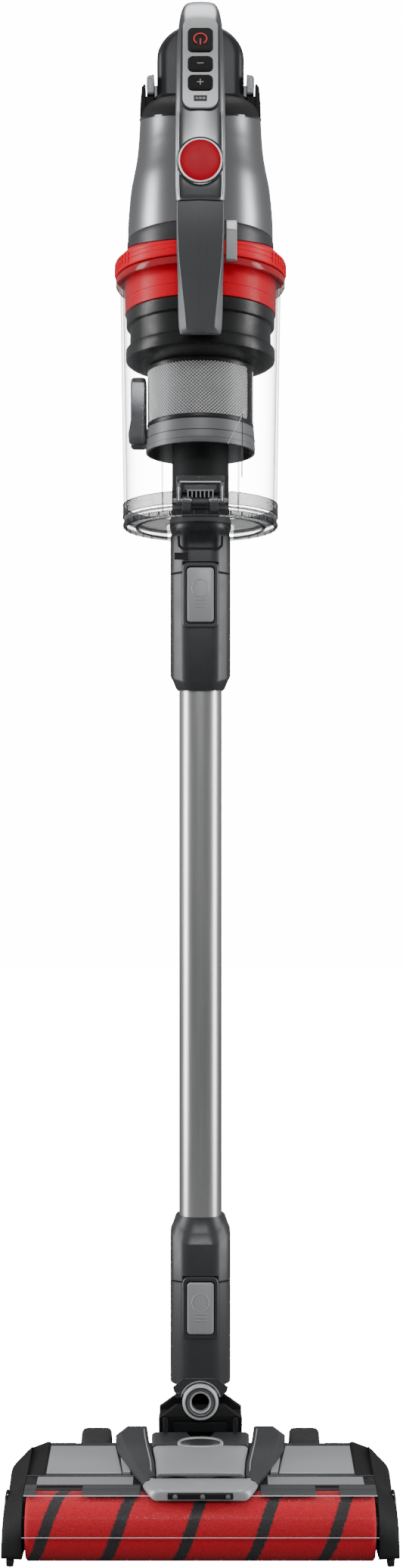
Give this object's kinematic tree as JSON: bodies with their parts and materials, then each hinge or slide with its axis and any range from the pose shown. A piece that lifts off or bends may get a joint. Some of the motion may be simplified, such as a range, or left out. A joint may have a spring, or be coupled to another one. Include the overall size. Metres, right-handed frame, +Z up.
{
  "type": "cordless stick vacuum cleaner",
  "caption": "Upright stick vacuum: powered floor head with soft and bristle rolls, tilting and swivelling neck, wand, clear dust cup with mesh separator, motor unit and looped handle.",
  "frame": {"origin": "centre of the bounding box's bottom face, on the floor", "axes": "+Z up along the wand; the front, with the handle and the hood, faces -Y; +X to the right in the front view"},
  "size_m": [0.281, 0.1834, 1.125],
  "materials": {
    "battery_latch_left": "satin",
    "battery_latch_right": "satin",
    "battery_pack": "satin",
    "bin_release_button": "satin",
    "centre_plate": "satin metallic paint",
    "control_bezel": "satin",
    "cup_door": "clear",
    "cup_top_ring": "gloss",
    "door_hinge_pin": "brushed",
    "door_latch": "satin",
    "drive_belt": "matte",
    "dust_cup": "clear",
    "frame_arm_left": "satin",
    "frame_arm_right": "satin",
    "front_roll_core": "satin",
    "front_roll_sleeve": "soft pile",
    "front_wheel_left": "matte",
    "front_wheel_right": "matte",
    "handle_front_shell": "satin metallic paint",
    "handle_rear_grip": "matte",
    "handle_tail": "satin",
    "headlight_bar": "matte",
    "inlet_duct": "matte",
    "inlet_flap": "matte",
    "inlet_neck": "satin",
    "inlet_tube": "matte",
    "left_end_cap": "matte",
    "mesh_shroud": "brushed",
    "minus_button": "matte",
    "motor_base": "satin",
    "motor_cap": "satin",
    "motor_housing": "satin metallic paint",
    "motor_impeller": "satin",
    "motor_shaft": "brushed",
    "neck_release_button": "satin",
    "nozzle_base": "satin",
    "nozzle_motor": "brushed",
    "nozzle_neck": "satin",
    "nozzle_top_cover": "satin metallic paint",
    "plus_button": "matte",
    "power_button": "matte",
    "pre_filter": "foam",
    "rear_brush_roll": "gloss",
    "rear_wheel_left": "matte",
    "rear_wheel_right": "matte",
    "right_end_cap": "matte",
    "roll_window": "clear",
    "round_badge": "gloss",
    "separator_baffle": "matte",
    "separator_collar": "gloss",
    "separator_skirt": "matte",
    "status_display": "matte",
    "suction_motor": "satin",
    "swivel_ring": "satin",
    "tilt_yoke": "matte",
    "wand_foot": "satin",
    "wand_head": "satin",
    "wand_release_button": "satin",
    "wand_tube": "anodised satin"
  },
  "bodies": {
    "nozzle": {"nozzle_base": "nozzle_base", "nozzle_top_cover": "nozzle_top_cover", "roll_window": "roll_window", "frame_arm_left": "frame_arm_left", "frame_arm_right": "frame_arm_right", "centre_plate": "centre_plate", "headlight_bar": "headlight_bar", "left_end_cap": "left_end_cap", "right_end_cap": "right_end_cap", "nozzle_motor": "nozzle_motor", "drive_belt": "drive_belt"},
    "motor_pulley": {"motor_shaft": "motor_shaft"},
    "front_roll": {"front_roll_core": "front_roll_core", "front_roll_sleeve": "front_roll_sleeve"},
    "rear_roll": {"rear_brush_roll": "rear_brush_roll"},
    "front_wheel_l": {"front_wheel_left": "front_wheel_left"},
    "front_wheel_r": {"front_wheel_right": "front_wheel_right"},
    "rear_wheel_l": {"rear_wheel_left": "rear_wheel_left"},
    "rear_wheel_r": {"rear_wheel_right": "rear_wheel_right"},
    "yoke": {"tilt_yoke": "tilt_yoke", "swivel_ring": "swivel_ring"},
    "neck": {"nozzle_neck": "nozzle_neck"},
    "neck_key": {"neck_release_button": "neck_release_button"},
    "wand": {"wand_tube": "wand_tube", "wand_foot": "wand_foot", "wand_head": "wand_head"},
    "wand_key": {"wand_release_button": "wand_release_button"},
    "cup": {"inlet_neck": "inlet_neck", "dust_cup": "dust_cup", "inlet_tube": "inlet_tube", "inlet_duct": "inlet_duct", "door_hinge_pin": "door_hinge_pin"},
    "door": {"cup_door": "cup_door"},
    "latch": {"door_latch": "door_latch"},
    "flap": {"inlet_flap": "inlet_flap"},
    "power_unit": {"separator_skirt": "separator_skirt", "mesh_shroud": "mesh_shroud", "separator_baffle": "separator_baffle", "separator_collar": "separator_collar", "pre_filter": "pre_filter", "cup_top_ring": "cup_top_ring", "motor_base": "motor_base", "motor_housing": "motor_housing", "motor_cap": "motor_cap", "suction_motor": "suction_motor", "handle_front_shell": "handle_front_shell", "handle_rear_grip": "handle_rear_grip", "handle_tail": "handle_tail", "control_bezel": "control_bezel", "status_display": "status_display", "round_badge": "round_badge"},
    "impeller": {"motor_impeller": "motor_impeller"},
    "bin_key": {"bin_release_button": "bin_release_button"},
    "power_key": {"power_button": "power_button"},
    "minus_key": {"minus_button": "minus_button"},
    "plus_key": {"plus_button": "plus_button"},
    "battery": {"battery_pack": "battery_pack"},
    "battery_key_l": {"battery_latch_left": "battery_latch_left"},
    "battery_key_r": {"battery_latch_right": "battery_latch_right"}
  },
  "joints": [
    {"name": "front_roll_spin", "type": "hinge", "parent": "nozzle", "child": "front_roll", "pos_m": [0, -0.05835, 0.0246], "axis": [1, 0, 0], "continuous": true},
    {"name": "rear_roll_spin", "type": "hinge", "parent": "nozzle", "child": "rear_roll", "pos_m": [0, -0.01335, 0.0215], "axis": [1, 0, 0], "continuous": true},
    {"name": "motor_spin", "type": "hinge", "parent": "nozzle", "child": "motor_pulley", "pos_m": [0, 0.02065, 0.022], "axis": [1, 0, 0], "continuous": true},
    {"name": "front_wheel_left_spin", "type": "hinge", "parent": "nozzle", "child": "front_wheel_l", "pos_m": [-0.1346, -0.07235, 0.005], "axis": [1, 0, 0], "continuous": true},
    {"name": "front_wheel_right_spin", "type": "hinge", "parent": "nozzle", "child": "front_wheel_r", "pos_m": [0.1346, -0.07235, 0.005], "axis": [1, 0, 0], "continuous": true},
    {"name": "rear_wheel_left_spin", "type": "hinge", "parent": "nozzle", "child": "rear_wheel_l", "pos_m": [-0.08, 0.05965, 0.032], "axis": [1, 0, 0], "continuous": true},
    {"name": "rear_wheel_right_spin", "type": "hinge", "parent": "nozzle", "child": "rear_wheel_r", "pos_m": [0.08, 0.05965, 0.032], "axis": [1, 0, 0], "continuous": true},
    {"name": "yoke_tilt", "type": "hinge", "parent": "nozzle", "child": "yoke", "pos_m": [0, 0.02265, 0.0495], "axis": [-1, 0, 0], "range_deg": [0, 80]},
    {"name": "neck_swivel", "type": "hinge", "parent": "yoke", "child": "neck", "pos_m": [0, 0.01465, 0.101], "axis": [0, 1, 0], "range_deg": [-40, 40]},
    {"name": "neck_button_press", "type": "slide", "parent": "neck", "child": "neck_key", "axis": [0, 1, 0], "range_m": [0, 0.0015], "stiffness_N_per_m": 300, "springref_m": -0.002},
    {"name": "wand_lift_off", "type": "slide", "parent": "neck", "child": "wand", "axis": [0, 0, 1], "range_m": [0, 0.06]},
    {"name": "wand_button_press", "type": "slide", "parent": "wand", "child": "wand_key", "axis": [0, 1, 0], "range_m": [0, 0.0015], "stiffness_N_per_m": 300, "springref_m": -0.002},
    {"name": "hand_unit_lift_off", "type": "slide", "parent": "wand", "child": "cup", "axis": [0, 0, 1], "range_m": [0, 0.06]},
    {"name": "cup_door_swing", "type": "hinge", "parent": "cup", "child": "door", "pos_m": [0, -0.04795, 0.7585], "axis": [-1, 0, 0], "range_deg": [0, 85]},
    {"name": "door_latch_swing", "type": "hinge", "parent": "cup", "child": "latch", "pos_m": [0, 0.07565, 0.766], "axis": [1, 0, 0], "range_deg": [0, 10], "stiffness_Nm_per_rad": 0.5, "springref_deg": -5.73},
    {"name": "inlet_flap_swing", "type": "hinge", "parent": "cup", "child": "flap", "pos_m": [-0.0434, 0.00465, 0.834], "axis": [0, 0, 1], "range_deg": [0, 50]},
    {"name": "power_unit_lift_off", "type": "slide", "parent": "cup", "child": "power_unit", "axis": [0, 0, 1], "range_m": [0, 0.16]},
    {"name": "impeller_spin", "type": "hinge", "parent": "power_unit", "child": "impeller", "pos_m": [0, 0.01465, 0.968], "axis": [0, 0, 1], "continuous": true},
    {"name": "bin_release_slide", "type": "slide", "parent": "power_unit", "child": "bin_key", "axis": [0, 0, -1], "range_m": [0, 0.005], "stiffness_N_per_m": 300, "springref_m": -0.002},
    {"name": "power_button_press", "type": "slide", "parent": "power_unit", "child": "power_key", "axis": [0, 0.9578, -0.2873], "range_m": [0, 0.0008], "stiffness_N_per_m": 300, "springref_m": -0.002},
    {"name": "minus_button_press", "type": "slide", "parent": "power_unit", "child": "minus_key", "axis": [0, 0.9853, -0.1708], "range_m": [0, 0.0008], "stiffness_N_per_m": 300, "springref_m": -0.002},
    {"name": "plus_button_press", "type": "slide", "parent": "power_unit", "child": "plus_key", "axis": [0, 0.9853, -0.1708], "range_m": [0, 0.0008], "stiffness_N_per_m": 300, "springref_m": -0.002},
    {"name": "battery_lift_out", "type": "slide", "parent": "power_unit", "child": "battery", "axis": [0, 0, 1], "range_m": [0, 0.05]},
    {"name": "battery_latch_left_press", "type": "slide", "parent": "battery", "child": "battery_key_l", "axis": [1, 0, 0], "range_m": [0, 0.0015], "stiffness_N_per_m": 300, "springref_m": -0.002},
    {"name": "battery_latch_right_press", "type": "slide", "parent": "battery", "child": "battery_key_r", "axis": [-1, 0, 0], "range_m": [0, 0.0015], "stiffness_N_per_m": 300, "springref_m": -0.002}
  ],
  "couplings": [
    {"joint": "rear_roll_spin", "follows": "front_roll_spin", "ratio": 1.2766},
    {"joint": "motor_spin", "follows": "front_roll_spin", "ratio": 2.4}
  ]
}
